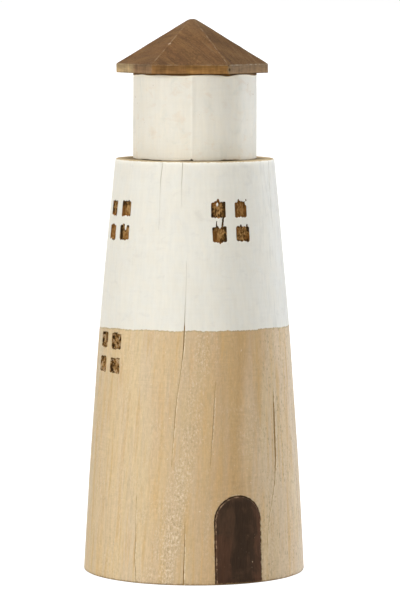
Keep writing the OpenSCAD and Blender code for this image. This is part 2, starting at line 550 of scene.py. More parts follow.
    def carve(self, bm, checks):
        """Cuts the panes and the door's outline, and marks what each finish needs to know."""
        panes = bm.verts.layers.float.new("pane")
        rims = bm.verts.layers.float.new("rim")
        doors = bm.verts.layers.float.new("door")
        for vert in bm.verts:
            turn = turn_of(vert.co)
            height = vert.co.z
            distance = self.flank.door_distance(turn, height)
            vert[doors] = min(max(distance, -self.door_reach), self.door_reach)
            radius = math.hypot(vert.co.x, vert.co.y)
            rim = self.flank.radius(height)
            inset = rim - radius
            if vert[checks] or inset > self.flank_depth:
                continue
            if inset < self.least_inset:
                inset = 0
            depth, vert[rims] = self.pane_cut(turn, height)
            vert[panes] = depth / (self.settings.pane_depth / MM)
            depth = max(depth, self.outline_depth(distance, vert.co))
            wave = self.wave * rough((vert.co.x, vert.co.y, height * 0.3), self.wave_length) - self.set_back
            vert.co = polar(rim + wave - max(depth, inset), turn, height)

    def build(self):
        """The finished tower as a bmesh in millimetres."""
        bm = bmesh.new()
        checks = bm.verts.layers.float.new("check")
        lips = bm.verts.layers.float.new("lip")
        columns = spin_profile(bm, self.profile(), self.steps)
        for vert, column in columns.items():
            self.place_column(vert, column, checks, lips)
        fine = {}
        for face in bm.faces:
            middle = face.calc_center_median()
            inset = self.flank.radius(middle.z) - math.hypot(middle.x, middle.y)
            if inset < self.skin and self.wants_detail(middle):
                fine.update(dict.fromkeys(face.edges))
        bmesh.ops.subdivide_edges(bm, edges=list(fine), cuts=self.detail_cuts, use_grid_fill=True)
        self.carve(bm, checks)
        close_ends(bm)
        return bm


# ---------------------------------------------------------------- lantern room and roof

# Turns of the flats that a plane left on the lantern room.
PLANED_FLATS = (-80, -50, 3, 23, 45, 78, 104, 131, 158, -176, -150, -128, -103)


def build_lantern(settings):
    """The lantern room: a planed round block with chipped edges, as a bmesh in millimetres."""
    low, high = box_of("lantern_room")
    radius = (high.x - low.x) / 2
    edge = settings.arris / MM
    chip = settings.chip / MM
    hole, _, hole_top = pin_hole("lower_dowel")
    _, upper_hole_floor, _ = pin_hole("upper_dowel")
    rows = 24
    steps = 216
    profile = [(hole, hole_top), (hole, low.z)]
    ends = ((24, 0), (5, 0), (2.2, 0), (0.9, 0), (0.25, 0.35), (0, 1))
    profile += [(radius - inset, low.z + edge * rise) for inset, rise in ends]
    for row in range(1, rows):
        profile.append((radius, low.z + edge + row * (high.z - low.z - 2 * edge) / rows))
    profile += [(radius - inset, high.z - edge * rise) for inset, rise in reversed(ends)]
    profile += [(hole, high.z), (hole, upper_hole_floor)]
    bm = bmesh.new()
    worn = bm.verts.layers.float.new("worn")
    ridge_highlight = bm.verts.layers.float.new("ridge_highlight")
    columns = spin_profile(bm, profile, steps)
    ridge_turn = math.degrees(settings.ridge_turn)
    for vert, column in columns.items():
        inset = radius - math.hypot(vert.co.x, vert.co.y)
        if inset > 20:
            vert.co = polar(radius - inset, ridge_turn + column * 360 / steps, vert.co.z)
            continue
        shift = (column + steps / 2) % steps - steps / 2
        shift *= 0.35 + 0.65 * blend_range(abs(shift), 2, 8)
        turn = ridge_turn + shift * 360 / steps
        to_flat = min(abs(turn_between(turn, flat)) for flat in PLANED_FLATS)
        planed = settings.flat / MM * blend_range(to_flat, 0, 9)
        past_ridge = turn_between(turn, ridge_turn) * math.radians(1) * radius
        to_ridge = abs(past_ridge)
        ridge = settings.ridge / MM * (1 - blend_range(to_ridge, 0, 0.9 if past_ridge < 0 else 2.6))
        upper = vert.co.z > (low.z + high.z) / 2
        from_end = (high.z - vert.co.z) if upper else (vert.co.z - low.z)
        near_end = 1 - blend_range(from_end, 0, 3 * edge)
        ragged = 0.5 * max(rough((turn * 0.5, 9 if upper else 0, 0), 11), 0)
        finer = 0.35 * max(rough((turn * 0.5, 4, upper), 3.5), 0)
        ragged += finer + 0.12 * max(rough((turn, upper, 0), 2), 0)
        notch = 0 if upper else max(1 - to_ridge / 1.1, 0)
        loss = chip * min(ragged + notch, 1.3)
        lift = loss * near_end if inset < 4 else loss * near_end * 0.4
        sink = 0.55 * loss * near_end
        vert[worn] = near_end * min(ragged + 0.4, 1)
        # Painted highlight along the ridge between two flats, for the finish to lighten.
        vert[ridge_highlight] = 1 - blend_range(to_ridge, 0.2, 0.9)
        wave = 0.12 * rough((vert.co.x, vert.co.y, vert.co.z * 0.4), 11, 5)
        height = vert.co.z - lift if upper else vert.co.z + lift
        vert.co = polar(radius - inset - planed + ridge - sink + wave - 0.05, turn, height)
    close_ends(bm)
    return bm


class RoofCutter:
    """Shapes the roof: a pyramid on a hexagonal band, with worn hips and a blunt tip."""

    side_places = (-1, -0.985, -0.96, -0.92, -0.84, -0.72, -0.57, -0.4, -0.2, 0, 0.2, 0.4, 0.57, 0.72, 0.84,
                   0.92, 0.96, 0.985)
    sides = 6
    rows = 40
    round_rows = 6

    def __init__(self, settings):
        low, high = box_of("roof")
        self.middle = (low + high) / 2
        self.base = low.z
        self.tip = high.z
        self.turn = math.degrees(settings.turn)
        self.corner = (high.y - low.y) / 2 / math.cos(settings.turn)
        self.eaves = settings.eaves / MM
        self.tip_radius = settings.tip / MM
        self.slope = (self.tip + settings.apex / MM - self.base - self.eaves) / self.corner
        self.wear = settings.wear / MM

    def profile(self):
        """The profile over a corner, as (radius, height) from the underside's middle round to the tip."""
        hole, _, hole_top = pin_hole("upper_dowel")
        rows = [(hole, hole_top), (hole, self.base)]
        rows += [(radius, self.base) for radius in (16, 30, 40)]
        lower_arris = ((1.2, 0), (0.35, 0), (0.08, 0.12), (0, 0.4))
        rows += [(self.corner - inset, self.base + rise) for inset, rise in lower_arris]
        rows += [(self.corner, self.base + self.eaves * share) for share in (0.3, 0.5, 0.7)]
        shoulder = self.base + self.eaves
        rows += [(self.corner, shoulder - 0.45), (self.corner - 0.08, shoulder - 0.12)]
        for row in range(self.rows):
            share = row / self.rows
            radius = (self.corner - 0.3) * (1 - share) + self.tip_radius * row / self.rows
            rows.append((radius, shoulder + (self.corner - radius) * self.slope))
        start, level = rows[-1]
        lean = math.atan(self.slope)
        ball = start / math.sin(lean)
        for row in range(1, self.round_rows):
            fall = lean * (1 - row / self.round_rows)
            rows.append((ball * math.sin(fall), level + ball * (math.cos(fall) - math.cos(lean))))
        return rows

    def build(self):
        """The finished roof as a bmesh in millimetres."""
        bm = bmesh.new()
        hips = bm.verts.layers.float.new("hip")
        columns = spin_profile(bm, self.profile(), self.sides * len(self.side_places))
        half_side = math.tan(math.pi / self.sides)
        for vert, column in columns.items():
            side, place = divmod(column, len(self.side_places))
            share = self.side_places[place]
            face_turn = self.turn + (side + 0.5) * 360 / self.sides
            offset = math.degrees(math.atan(share * half_side))
            turn = face_turn + offset
            corner_radius = math.hypot(vert.co.x, vert.co.y)
            flat_radius = corner_radius * math.cos(math.pi / self.sides)
            radius = flat_radius / math.cos(math.radians(offset))
            round_share = 1 - blend_range(corner_radius, self.tip_radius * 0.3, self.tip_radius * 1.5)
            radius += (flat_radius * 1.08 - radius) * round_share
            height = vert.co.z
            under = height < self.base + 0.01
            to_hip = (1 - abs(share)) * flat_radius * half_side
            shoulder = self.base + self.eaves
            uneven = 1 + 0.6 * rough((turn, height, corner_radius), 9)
            hip_wear = math.exp(-((to_hip / 0.75) ** 2)) * uneven
            if not under and corner_radius > self.tip_radius:
                radius -= self.wear * hip_wear * 0.8
                vert[hips] = max(1 - to_hip / 3, 0)
            if not under and height > shoulder:
                height += 0.07 * rough((turn * 0.8, corner_radius, 2), 5)
            reach = blend_range(corner_radius, 10, 36) if under or height > self.tip else 1
            if corner_radius < 6 and (under or height < self.tip - 5):
                reach = 0
            vert.co = polar(radius, turn, height) + Vector((self.middle.x, self.middle.y, 0)) * reach
        close_ends(bm)
        return bm


# ---------------------------------------------------------------- shader helpers

class Wire:
    """What comes out of a node: a value to reckon with, or a colour to coat and tint."""

    def __init__(self, nodes, socket):
        self.nodes = nodes
        self.socket = socket

    def __add__(self, other):
        return self.nodes.math("ADD", self, other)

    def __sub__(self, other):
        return self.nodes.math("SUBTRACT", self, other)

    def __rsub__(self, other):
        return self.nodes.math("SUBTRACT", other, self)

    def __mul__(self, other):
        return self.nodes.math("MULTIPLY", self, other)

    def __truediv__(self, other):
        return self.nodes.math("DIVIDE", self, other)

    def highest(self, other):
        """The greater of two values."""
        return self.nodes.math("MAXIMUM", self, other)

    def step(self, low, high, start=0.0, end=1.0):
        """A smooth step from one value to another as this one goes from low to high."""
        inputs = {0: self, 1: low, 2: high, 3: start, 4: end}
        return self.nodes.wire("ShaderNodeMapRange", inputs, interpolation_type="SMOOTHSTEP")

    def sweep(self, first, last, start=0.0, end=1.0):
        """A smooth step between two turns in degrees, from a turn in radians."""
        return self.step(math.radians(first), math.radians(last), start, end)

    def spread(self, start, end, low=0.3, high=0.7):
        """A straight change from one value to another, over most of a noise's range unless told otherwise."""
        return self.nodes.wire("ShaderNodeMapRange", {0: self, 1: low, 2: high, 3: start, 4: end})

    def coat(self, share, other):
        """This colour with another laid over it."""
        return self.nodes.mix(share, self, other)

    def tint(self, other):
        """This colour multiplied by another."""
        return self.nodes.mix(1.0, self, other, "MULTIPLY")

    def shade(self, value):
        """This colour multiplied by a number."""
        return self.tint(self.nodes.wire("ShaderNodeCombineXYZ", {0: value, 1: value, 2: value}))


class Nodes:
    """A short way to write a node tree down."""

    def __init__(self, tree):
        self.tree = tree

    def put(self, socket, value):
        """Links a wire to a socket, or sets the socket's own value."""
        if isinstance(value, Wire):
            self.tree.links.new(value.socket, socket)
        else:
            socket.default_value = value

    def fill(self, sockets, values):
        """Does so for several sockets, by name or number."""
        for name, value in values.items():
            self.put(sockets[name], value)

    def add(self, kind, inputs=None, **settings):
        """A node with its settings and inputs."""
        node = self.tree.nodes.new(kind)
        for name, value in settings.items():
            setattr(node, name, value)
        self.fill(node.inputs, inputs or {})
        return node

    def wire(self, kind, inputs=None, output=0, **settings):
        """One output of a new node."""
        return Wire(self, self.add(kind, inputs, **settings).outputs[output])

    def wires(self, node):
        """All the outputs of a node, by name."""
        return {socket.name: Wire(self, socket) for socket in node.outputs}

    def math(self, operation, first, second=0.0):
        """The result of one sum."""
        return self.wire("ShaderNodeMath", {0: first, 1: second}, operation=operation)

    def stretch(self, vector, scale):
        """A vector with each axis scaled."""
        return self.wire("ShaderNodeVectorMath", {0: vector, 1: scale}, operation="MULTIPLY")

    def scale(self, vector, size):
        """A vector with all its axes scaled alike."""
        return self.wire("ShaderNodeVectorMath", {0: vector, "Scale": size}, operation="SCALE")

    def rotate(self, vector, angle):
        """A vector turned about the Z axis."""
        return self.wire("ShaderNodeVectorRotate", {"Vector": vector, "Angle": angle}, rotation_type="Z_AXIS")

    def noise(self, vector, level, upright, detail=2.0, roughness=0.5, distortion=0.0):
        """Smooth noise of about 0.2 to 0.8, with a scale for X and Y and one for Z."""
        return self.wire("ShaderNodeTexNoise", {
            "Vector": self.stretch(vector, (level, level, upright)), "Scale": 1.0, "Detail": detail,
            "Roughness": roughness, "Distortion": distortion})

    def mix(self, share, first, second, blend="MIX"):
        """Two colours mixed."""
        first, second = [(*value, 1) if isinstance(value, tuple) else value for value in (first, second)]
        inputs = {0: share, 6: first, 7: second}
        return self.wire("ShaderNodeMix", inputs, 2, data_type="RGBA", blend_type=blend)

    def ramp(self, value, stops, interpolation="LINEAR"):
        """Colours picked along a row of (place, colour) stops."""
        node = self.add("ShaderNodeValToRGB", {0: value})
        node.color_ramp.interpolation = interpolation
        elements = node.color_ramp.elements
        while len(elements) < len(stops):
            elements.new(0.5)
        for element, (place, tone) in zip(elements, stops):
            element.position = place
            element.color = (*tone, 1)
        return Wire(self, node.outputs[0])

    def round_ramp(self, fraction, stops, interpolation="CONSTANT"):
        """Colours picked round the axis, for stops given by their turns in degrees."""
        return self.ramp(fraction, [(turn_share(turn), tone) for turn, tone in stops], interpolation)

    def attribute(self, name):
        """A number stored on the piece's own vertices."""
        return self.wire("ShaderNodeAttribute", None, "Fac", attribute_name=name)

    def place(self):
        """Object coordinates in millimetres."""
        return self.scale(self.wire("ShaderNodeTexCoord", None, "Object"), 1 / MM)

    def parts(self, vector):
        """The X, Y and Z of a vector."""
        return self.wires(self.add("ShaderNodeSeparateXYZ", {0: vector})).values()

    def height(self, vector):
        """The Z of a vector."""
        return self.wire("ShaderNodeSeparateXYZ", {0: vector}, 2)

    def turn(self, vector):
        """The turn of a place from the door, in radians."""
        x, y, _ = self.parts(vector)
        return self.math("ARCTAN2", x, y * -1.0)


def turn_share(degrees):
    """A turn as a share of the way round, from 0 behind the ornament to 1."""
    return degrees / 360 + 0.5


def new_group(name, inputs, outputs):
    """An empty shader group with named sockets, with what comes into it and what goes out."""
    tree = bpy.data.node_groups.new(name, "ShaderNodeTree")
    for way, sockets in (("INPUT", inputs), ("OUTPUT", outputs)):
        for socket_name, kind in sockets.items():
            tree.interface.new_socket(socket_name, in_out=way, socket_type="NodeSocket" + kind)
    nodes = Nodes(tree)
    return nodes, nodes.wires(nodes.add("NodeGroupInput")), nodes.add("NodeGroupOutput").inputs


def use_group(nodes, name, inputs):
    """A group placed in a material with its own values."""
    return nodes.wires(nodes.add("ShaderNodeGroup", inputs, node_tree=bpy.data.node_groups[name]))


def new_material(name):
    """An empty material with its nodes and its Principled shader."""
    material = bpy.data.materials.new(name)
    material.use_nodes = True
    return material, Nodes(material.node_tree), material.node_tree.nodes["Principled BSDF"]


def set_finish(nodes, shader, base, roughness, height, bump_mm, specular=0.12):
    """Wires a material's colour, roughness and relief to its shader."""
    relief = nodes.wire("ShaderNodeBump", {"Height": height, "Strength": 1.0, "Distance": bump_mm * MM})
    nodes.fill(shader.inputs, {
        "Base Color": base, "Roughness": roughness, "Specular IOR Level": specular, "Normal": relief})


# ---------------------------------------------------------------- shared effects

def make_grain_group():
    """Wood grain along an axis: broad bands, streaks, fine fibres and pores."""
    nodes, given, out = new_group(
        "Wood Grain", {"Place": "Vector", "Across": "Float", "Along": "Float"},
        {"Bands": "Float", "Streaks": "Float", "Fibres": "Float", "Pores": "Float"})
    across = given["Across"]
    sized = nodes.wire("ShaderNodeCombineXYZ", {0: across, 1: across, 2: given["Along"]})
    vector = nodes.stretch(given["Place"], sized)
    nodes.fill(out, {
        "Bands": nodes.noise(vector, 0.09, 0.008, 2, 0.5, 0.3),
        "Streaks": nodes.noise(vector, 0.34, 0.014, 3, 0.55, 0.25),
        "Fibres": nodes.noise(vector, 2.1, 0.06, 3, 0.65, 0.1),
        "Pores": nodes.noise(vector, 1.5, 0.22, 2, 0.6).step(0.62, 0.74),
    })


def make_tool_group():
    """Level tool and sanding lines, from 0 to 1."""
    nodes, given, out = new_group("Sanding Lines", {"Place": "Vector", "Size": "Float"}, {"Lines": "Float"})
    nodes.put(out["Lines"], nodes.noise(nodes.scale(given["Place"], given["Size"]), 0.1, 1.1, 3, 0.7))


def make_chalk_group():
    """Brushed chalk paint: a colour that varies with the brush and with smudges, and its relief."""
    nodes, given, out = new_group(
        "Chalk Paint", {"Place": "Vector", "Colour": "Color", "Smudge": "Color", "Amount": "Float"},
        {"Colour": "Color", "Relief": "Float"})
    place = given["Place"]
    brush = nodes.noise(place, 0.5, 0.06, 3, 0.6)
    level = nodes.noise(place, 0.03, 0.6, 2, 0.6)
    cloud = nodes.noise(place, 0.05, 0.035, 3, 0.55, 0.4)
    patch = nodes.noise(place, 0.11, 0.16, 4, 0.6, 0.6)
    hue = nodes.noise(place, 0.16, 0.11, 3, 0.6, 0.5)
    tone = brush.spread(-0.024, 0.024) + level.spread(0.991, 1.009) + cloud.spread(-0.012, 0.012)
    tint = nodes.mix(hue.step(0.36, 0.64), (1.006, 0.999, 0.984), (0.994, 1.0, 1.007))
    paint = given["Colour"].coat(patch.step(0.54, 0.72) * given["Amount"], given["Smudge"])
    nodes.fill(out, {"Colour": paint.tint(tint).shade(tone), "Relief": brush * 0.6 + level * 0.4})


# ---------------------------------------------------------------- finishes

WHITE = (0.86, 0.83, 0.735)

# Colours of the bare log round the tower, by turn from the door.
LOG_COLOURS = (
    (-180, (0.66, 0.49, 0.31)),
    (-140, (0.70, 0.53, 0.35)),
    (-104, (0.685, 0.575, 0.41)),
    (-90, (0.695, 0.535, 0.33)),
    (-78, (0.745, 0.57, 0.34)),
    (-66, (0.76, 0.585, 0.36)),
    (-54, (0.72, 0.565, 0.36)),
    (-40, (0.69, 0.508, 0.3)),
    (-28, (0.65, 0.487, 0.292)),
    (-16, (0.64, 0.45, 0.245)),
    (0, (0.567, 0.373, 0.182)),
    (12, (0.608, 0.413, 0.218)),
    (28, (0.67, 0.52, 0.332)),
    (40, (0.735, 0.565, 0.365)),
    (54, (0.785, 0.64, 0.45)),
    (78, (0.8, 0.65, 0.475)),
    (100, (0.68, 0.50, 0.32)),
    (140, (0.64, 0.46, 0.28)),
    (180, (0.66, 0.49, 0.31)),
)

# Bands of the log that kept lime, as (turn at the foot, lean in degrees per millimetre, width, strength).
LIMED_BANDS = (
    (-39.5, 0.142, 6.5, 1.0), (-48, 0.2, 4.5, 0.55), (18, 0.085, 6, 0.3), (-70, 0.03, 5, 0.35),
    (-20, 0.06, 3, 0.35), (95, 0.08, 9, 0.8), (150, -0.06, 8, 0.7), (-130, 0.07, 10, 0.8),
)

# The grain leans by this many radians for each millimetre below a height.
LEAN = 0.0007
STRAIGHT_ABOVE = 150.0

# Heights between the lower windows and the upper ones, over which the carving's finish changes.
STOREYS = (150.0, 160.0)

# How much the paint's edge rises for each millimetre along X, Y and Z.
EDGE_TILT = (-0.0101, -0.0224, 0)


def log_wood(nodes, place):
    """The bare log: its colour, its grain, the level lines left by sanding and the turn along its grain."""
    lean = (STRAIGHT_ABOVE - nodes.height(place)).highest(0.0) * LEAN
    leaning = nodes.rotate(place, lean)
    turn = nodes.turn(leaning)
    grain = use_group(nodes, "Wood Grain", {"Place": leaning, "Across": 1.0, "Along": 1.0})
    sanded = nodes.noise(place, 0.05, 0.03).step(0.42, 0.6, 0.2, 1.0)
    lines = use_group(nodes, "Sanding Lines", {"Place": place, "Size": 1.0})["Lines"]
    lines = (lines - 0.5) * sanded + 0.5
    fraction = turn / TURN + (grain["Bands"].spread(-0.02, 0.02) + 0.5)
    wood = nodes.round_ramp(fraction, LOG_COLOURS, "LINEAR")
    wood = wood.coat(grain["Streaks"].step(0.48, 0.68, 0.0, 0.55), (0.65, 0.42, 0.19))
    wood = wood.coat(grain["Bands"].step(0.5, 0.72, 0.0, 0.3), (0.77, 0.6, 0.39))
    golden = nodes.noise(leaning, 0.17, 0.012)
    wood = wood.tint(nodes.mix(golden.step(0.36, 0.64), (0.995, 0.998, 1.02), (1.008, 1.0, 0.94)))
    wood = wood.coat(grain["Streaks"].step(0.44, 0.3, 0.0, 0.35), (0.56, 0.42, 0.25))
    pebbles = nodes.noise(place, 0.5, 0.34, 4, 0.7, 0.4)
    tone = grain["Fibres"].spread(0.915, 1.085, 0.28, 0.72) + lines.spread(-0.06, 0.06, 0.28, 0.72)
    return wood.shade(tone + pebbles.spread(-0.065, 0.065)), grain, lines, turn


def limed_bands(nodes, place):
    """Where lime stayed in the open grain: leaning bands round the log, from 0 to 1."""
    z = nodes.height(place)
    turn = nodes.turn(place) * (360 / TURN)
    total = None
    for start, lean, width, strength in LIMED_BANDS:
        away = nodes.math("ABSOLUTE", turn - (z * lean + float(start)))
        band = away.step(width * 1.2, width * 0.3, 0.0, strength)
        total = total.highest(band) if total else band
    return total


def limewash(nodes, place, turn, wood):
    """A log with lime in its grain and flecks there, and the flecks and the lime for its relief."""
    flecks = nodes.noise(place, 1.05, 0.6, 2, 0.7, 0.2)
    clouds = nodes.noise(place, 0.06, 0.035, 3, 0.6, 0.5)
    lime_and_lip_light = limed_bands(nodes, place) * clouds.step(0.36, 0.6, 0.35, 1.0)
    lime_and_lip_light = lime_and_lip_light.highest(clouds.step(0.48, 0.66, 0.06, 0.42))
    wood = wood.coat(lime_and_lip_light * 0.35, (0.66, 0.51, 0.33))
    amount = lime_and_lip_light * nodes.height(place).step(95.0, 40.0, 0.36, 0.54) + 0.03
    wood = wood.coat(flecks.step(0.54, 0.64) * amount, (0.93, 0.82, 0.62))
    wood = wood.coat(flecks.step(0.46, 0.37) * amount, (0.4, 0.28, 0.15))
    dashes = nodes.noise(place, 0.9, 0.34, 2, 0.6, 0.3).step(0.6, 0.68)
    wood = wood.coat(dashes * turn.sweep(12, 24, 0.12, 0.66), (0.38, 0.28, 0.16))
    spots = nodes.noise(place, 0.4, 0.4, 1).step(0.76, 0.8, 0.0, 0.45)
    return wood.coat(spots, (0.9, 0.78, 0.58)), flecks, lime_and_lip_light


def past_paint_edge(nodes, place, turn, paint_height):
    """Height over the paint's lower edge, which tilts, waves, frays and sags at the far left."""
    tilt = nodes.wire("ShaderNodeVectorMath", {0: place, 1: EDGE_TILT}, "Value", operation="DOT_PRODUCT")
    waves = nodes.noise(place, 0.05, 0.0, 1).spread(-0.5, 0.5)
    ragged = nodes.noise(place, 0.7, 0.25, 3, 0.6).spread(-0.35, 0.35)
    sag = turn.sweep(-74, -98, 0.0, -0.7)
    return nodes.height(place) - (tilt + waves + (ragged + sag) + paint_height)


def end_wood(nodes, place, grain, surface):
    """A surface with the tower's bare top, darker towards the lantern room as painted shade."""
    top = box_of("tower")[1].z
    x, y, z = nodes.parts(place)
    from_axis = nodes.math("SQRT", x * x + y * y)
    wear = nodes.noise(place, 0.5, 0.5, 3, 0.6).spread(-0.25, 0.2)
    wood = nodes.mix(grain["Streaks"], (0.45, 0.325, 0.17), (0.61, 0.49, 0.32))
    # Painted shade: the top is darker towards the lantern room.
    wood = wood.shade(from_axis.step(46.0, 40.0, 1.0, 0.7))
    return surface.coat((z + wear).step(top - 0.42, top - 0.22), wood)


def stain_door(nodes, place, grain, broken, surface):
    """A surface with the dark stained door, its chips and the lips of the line round it."""
    x, _, z = nodes.parts(place)
    door = nodes.attribute("door")
    patches = nodes.noise(place, 0.13, 0.07, 3, 0.6, 0.5)
    lower_left = x.step(-1, -9) * z.step(38, 20)
    reddish = lower_left.highest(x.step(3, 12, 0.0, 0.6)) + patches.spread(-0.35, 0.45)
    stain = nodes.mix(patches.step(0.4, 0.6), (0.044, 0.025, 0.014), (0.07, 0.038, 0.021))
    stain = stain.coat(reddish.step(0.25, 1.0, 0.0, 0.5), (0.088, 0.038, 0.02))
    stain = stain.shade(grain["Fibres"].spread(0.8, 1.26)).shade(x.step(2, 12, 1.0, 1.3))
    chips = nodes.noise(place, 0.9, 0.5).step(0.7, 0.75)
    stain = stain.coat(chips * (x.step(4, 10, 0.1, 0.9) * z.step(34, 26)), (0.5, 0.38, 0.24))
    # A pale broken line on the inner wall of the door's outline, strongest on the left: partly bare wood and
    # partly a painted highlight of the wall that faces the light.
    inner_lip = door.step(-1.25, -0.8) * door.step(-0.2, -0.55) * x.step(5, -5, 0.3, 1.0)
    stain = stain.coat(inner_lip * broken.step(0.46, 0.56, 0.1, 0.75), (0.4, 0.26, 0.16))
    surface = surface.coat((door + broken.spread(-0.2, 0.2)).step(0.42, 0.2), stain)
    outer_lip = door.step(0.35, 0.6) * door.step(1.3, 0.8)
    return surface.coat(outer_lip * broken.step(0.48, 0.58, 0.0, 0.5), (0.8, 0.68, 0.48))


def stain_panes(nodes, place, turn, surface):
    """A surface with the brown stain in its panes, worn through low down and darkest round their rims and in
    their corners, partly where the stain pooled and partly as painted shade of the steep gouged walls.
    """
    z = nodes.height(place)
    rough_cut = nodes.noise(place, 0.5, 0.3, 2, 0.6, 0.6)
    fine_cut = nodes.noise(place, 1.1, 0.7, 2, 0.6, 0.5)
    tone = rough_cut.spread(0.14, 1.06, 0.34, 0.66) + fine_cut.spread(-0.23, 0.23)
    # Painted shade, as well as pooled stain, darkens the rims and corners of the panes, more in the upper
    # windows.
    cut = nodes.ramp(tone - nodes.attribute("rim") * z.step(*STOREYS, 0.38, 0.75), [
        (0.0, (0.05, 0.025, 0.006)), (0.3, (0.13, 0.066, 0.016)), (0.52, (0.3, 0.155, 0.045)),
        (0.8, (0.53, 0.31, 0.115))])
    orange = nodes.noise(place, 0.08, 0.09, 1).step(0.46, 0.56, 0.0, 0.6) * z.step(*STOREYS)
    soaked = turn.sweep(2, 4) * z.step(217, 219, 0.0, 0.4) * turn.sweep(18, 16)
    cut = cut.coat(orange.highest(soaked), (0.33, 0.14, 0.03))
    worn = rough_cut.step(0.53, 0.64, 0.0, 0.8) * z.step(*reversed(STOREYS))
    cut = cut.coat(worn, (0.6, 0.47, 0.3))
    return surface.coat(nodes.attribute("pane").step(0.05, 0.14), cut)


def make_tower_material(settings):
    """Limewashed log below, chalk paint above, brown stain in the carving and a dark stained door."""
    material, nodes, shader = new_material("Limed And Painted Log")
    paint_height = settings.paint_height / MM
    place = nodes.place()
    z = nodes.height(place)
    wood, grain, lines, turn = log_wood(nodes, place)
    wood, flecks, lime_and_lip_light = limewash(nodes, place, turn, wood)

    past_edge = past_paint_edge(nodes, place, turn, paint_height)
    painted = past_edge.step(-0.18, 0.18)
    unpainted = 1.0 - painted
    patchy = nodes.noise(place, 0.3, 0.0, 2, 0.6).step(0.35, 0.6, 0.15, 0.7)
    # A dark broken line just under the paint's edge: partly a scored line and partly painted shade under the
    # raised edge of the paint.
    scored_line_and_shade = past_edge.step(-1.0, -0.5) * past_edge.step(0.1, -0.15)
    wood = wood.coat(scored_line_and_shade * patchy, (0.45, 0.36, 0.22))
    chalk = use_group(nodes, "Chalk Paint", {
        "Place": place, "Colour": (*WHITE, 1), "Smudge": (0.77, 0.74, 0.66, 1), "Amount": 0.5})
    runs = nodes.noise(place, 0.45, 0.05, 3, 0.65).step(0.5, 0.66, 0.0, 0.5)
    runs = runs * turn.sweep(14, 34) * turn.sweep(62, 50)
    surface = wood.coat(painted, chalk["Colour"].coat(runs, (0.72, 0.7, 0.62)))
    surface = end_wood(nodes, place, grain, surface)

    broken = nodes.noise(place, 0.5, 0.35, 2, 0.6)
    surface = stain_door(nodes, place, grain, broken, surface)
    scuffed = (z + broken.spread(-0.4, 0.4)).step(1.4, 0.5, 0.0, 0.7)
    surface = surface.coat(scuffed, (0.3, 0.19, 0.085))
    # Painted highlight: the right lip of each open check in the bare log is painted pale, as its lit wall.
    lip = nodes.attribute("lip").step(0.15, 0.7) * broken.step(0.42, 0.56, 0.1, 0.75)
    surface = surface.coat(lip * unpainted, (0.9, 0.77, 0.54))
    surface = stain_panes(nodes, place, turn, surface)
    # Inside the open checks: a brown floor in the bare log, partly raw wood and partly painted shade of the
    # recess, and darker paint higher up as painted shade.
    high_up = z.step(paint_height + 3, paint_height + 8)
    check_floor_and_shade = nodes.mix(high_up, (0.42, 0.26, 0.085), (0.7, 0.66, 0.565))
    surface = surface.coat(nodes.attribute("check").step(0.04, 0.32), check_floor_and_shade)

    relief = grain["Fibres"] * 0.5 + lines * 0.35 + flecks * lime_and_lip_light * 1.3
    relief = relief * unpainted + chalk["Relief"] * 0.35 * painted + painted * 0.25
    set_finish(nodes, shader, surface, grain["Streaks"].spread(0.62, 0.8), relief, 0.22)
    return material


def make_lantern_material():
    """Creamy chalk paint, rubbed thin in patches and worn through at the edges."""
    material, nodes, shader = new_material("Rubbed Chalk Paint")
    low, high = box_of("lantern_room")
    place = nodes.place()
    z = nodes.height(place)
    chalk = use_group(nodes, "Chalk Paint", {
        "Place": place, "Colour": (0.885, 0.838, 0.722, 1), "Smudge": (0.85, 0.765, 0.63, 1), "Amount": 0.85})
    grey_patch = nodes.noise(place, 0.09, 0.07, 3, 0.6, 0.6)
    base = chalk["Colour"].coat(grey_patch.step(0.54, 0.7, 0.0, 0.4), (0.75, 0.74, 0.65))
    # Painted shade: the paint is darker towards the foot of the lantern room, where the tower's top keeps
    # light off it, and a touch darker under the roof, half as much towards the left; the whole is then lifted
    # a little.
    painted_shade_by_height = nodes.ramp((z - low.z) / (high.z - low.z), [
        (0.0, (0.84, 0.84, 0.83)), (0.07, (0.89, 0.905, 0.91)), (0.2, (0.95, 0.96, 0.965)), (0.36, (1, 1, 1)),
        (0.55, (1.0, 1.0, 1.0)), (0.8, (0.985, 0.985, 0.985))])
    painted_shade_by_height = nodes.mix(nodes.turn(place).step(-0.75, -0.2, 0.5, 1.0), (1, 1, 1), painted_shade_by_height)
    base = base.tint(painted_shade_by_height.shade(1.035))
    # Painted highlight: the paint is lighter along the ridge between two flats.
    base = base.coat(nodes.attribute("ridge_highlight") * 0.25, (0.97, 0.935, 0.82))
    rubbed = nodes.noise(place, 0.9, 0.9, 3, 0.6)
    bare = (nodes.attribute("worn") + rubbed.spread(-0.25, 0.25)).step(0.72, 0.95)
    base = base.coat(bare, (0.62, 0.45, 0.25))
    # Along the top edge, a wavy brown band: stain where the edge is chipped, and also painted shade of the
    # gap under the roof.
    stain_and_shade_limit = nodes.noise(place, 0.05, 0.0, 2, 0.4).spread(high.z - 0.4, high.z - 1.6, 0.35, 0.65)
    past = z - stain_and_shade_limit
    # Painted highlight: a cream line just below the brown band at the top edge.
    base = base.coat(past.step(-1.5, -0.8, 0.0, 0.95), (1.0, 0.93, 0.76))
    base = base.coat(past.step(-0.3, 0.15), (0.24, 0.13, 0.045))
    specks = nodes.noise(place, 0.55, 0.55, 1).step(0.79, 0.82, 0.0, 0.5)
    base = base.coat(specks, (0.45, 0.33, 0.2))
    set_finish(nodes, shader, base, grey_patch.spread(0.65, 0.82), chalk["Relief"], 0.1)
    return material


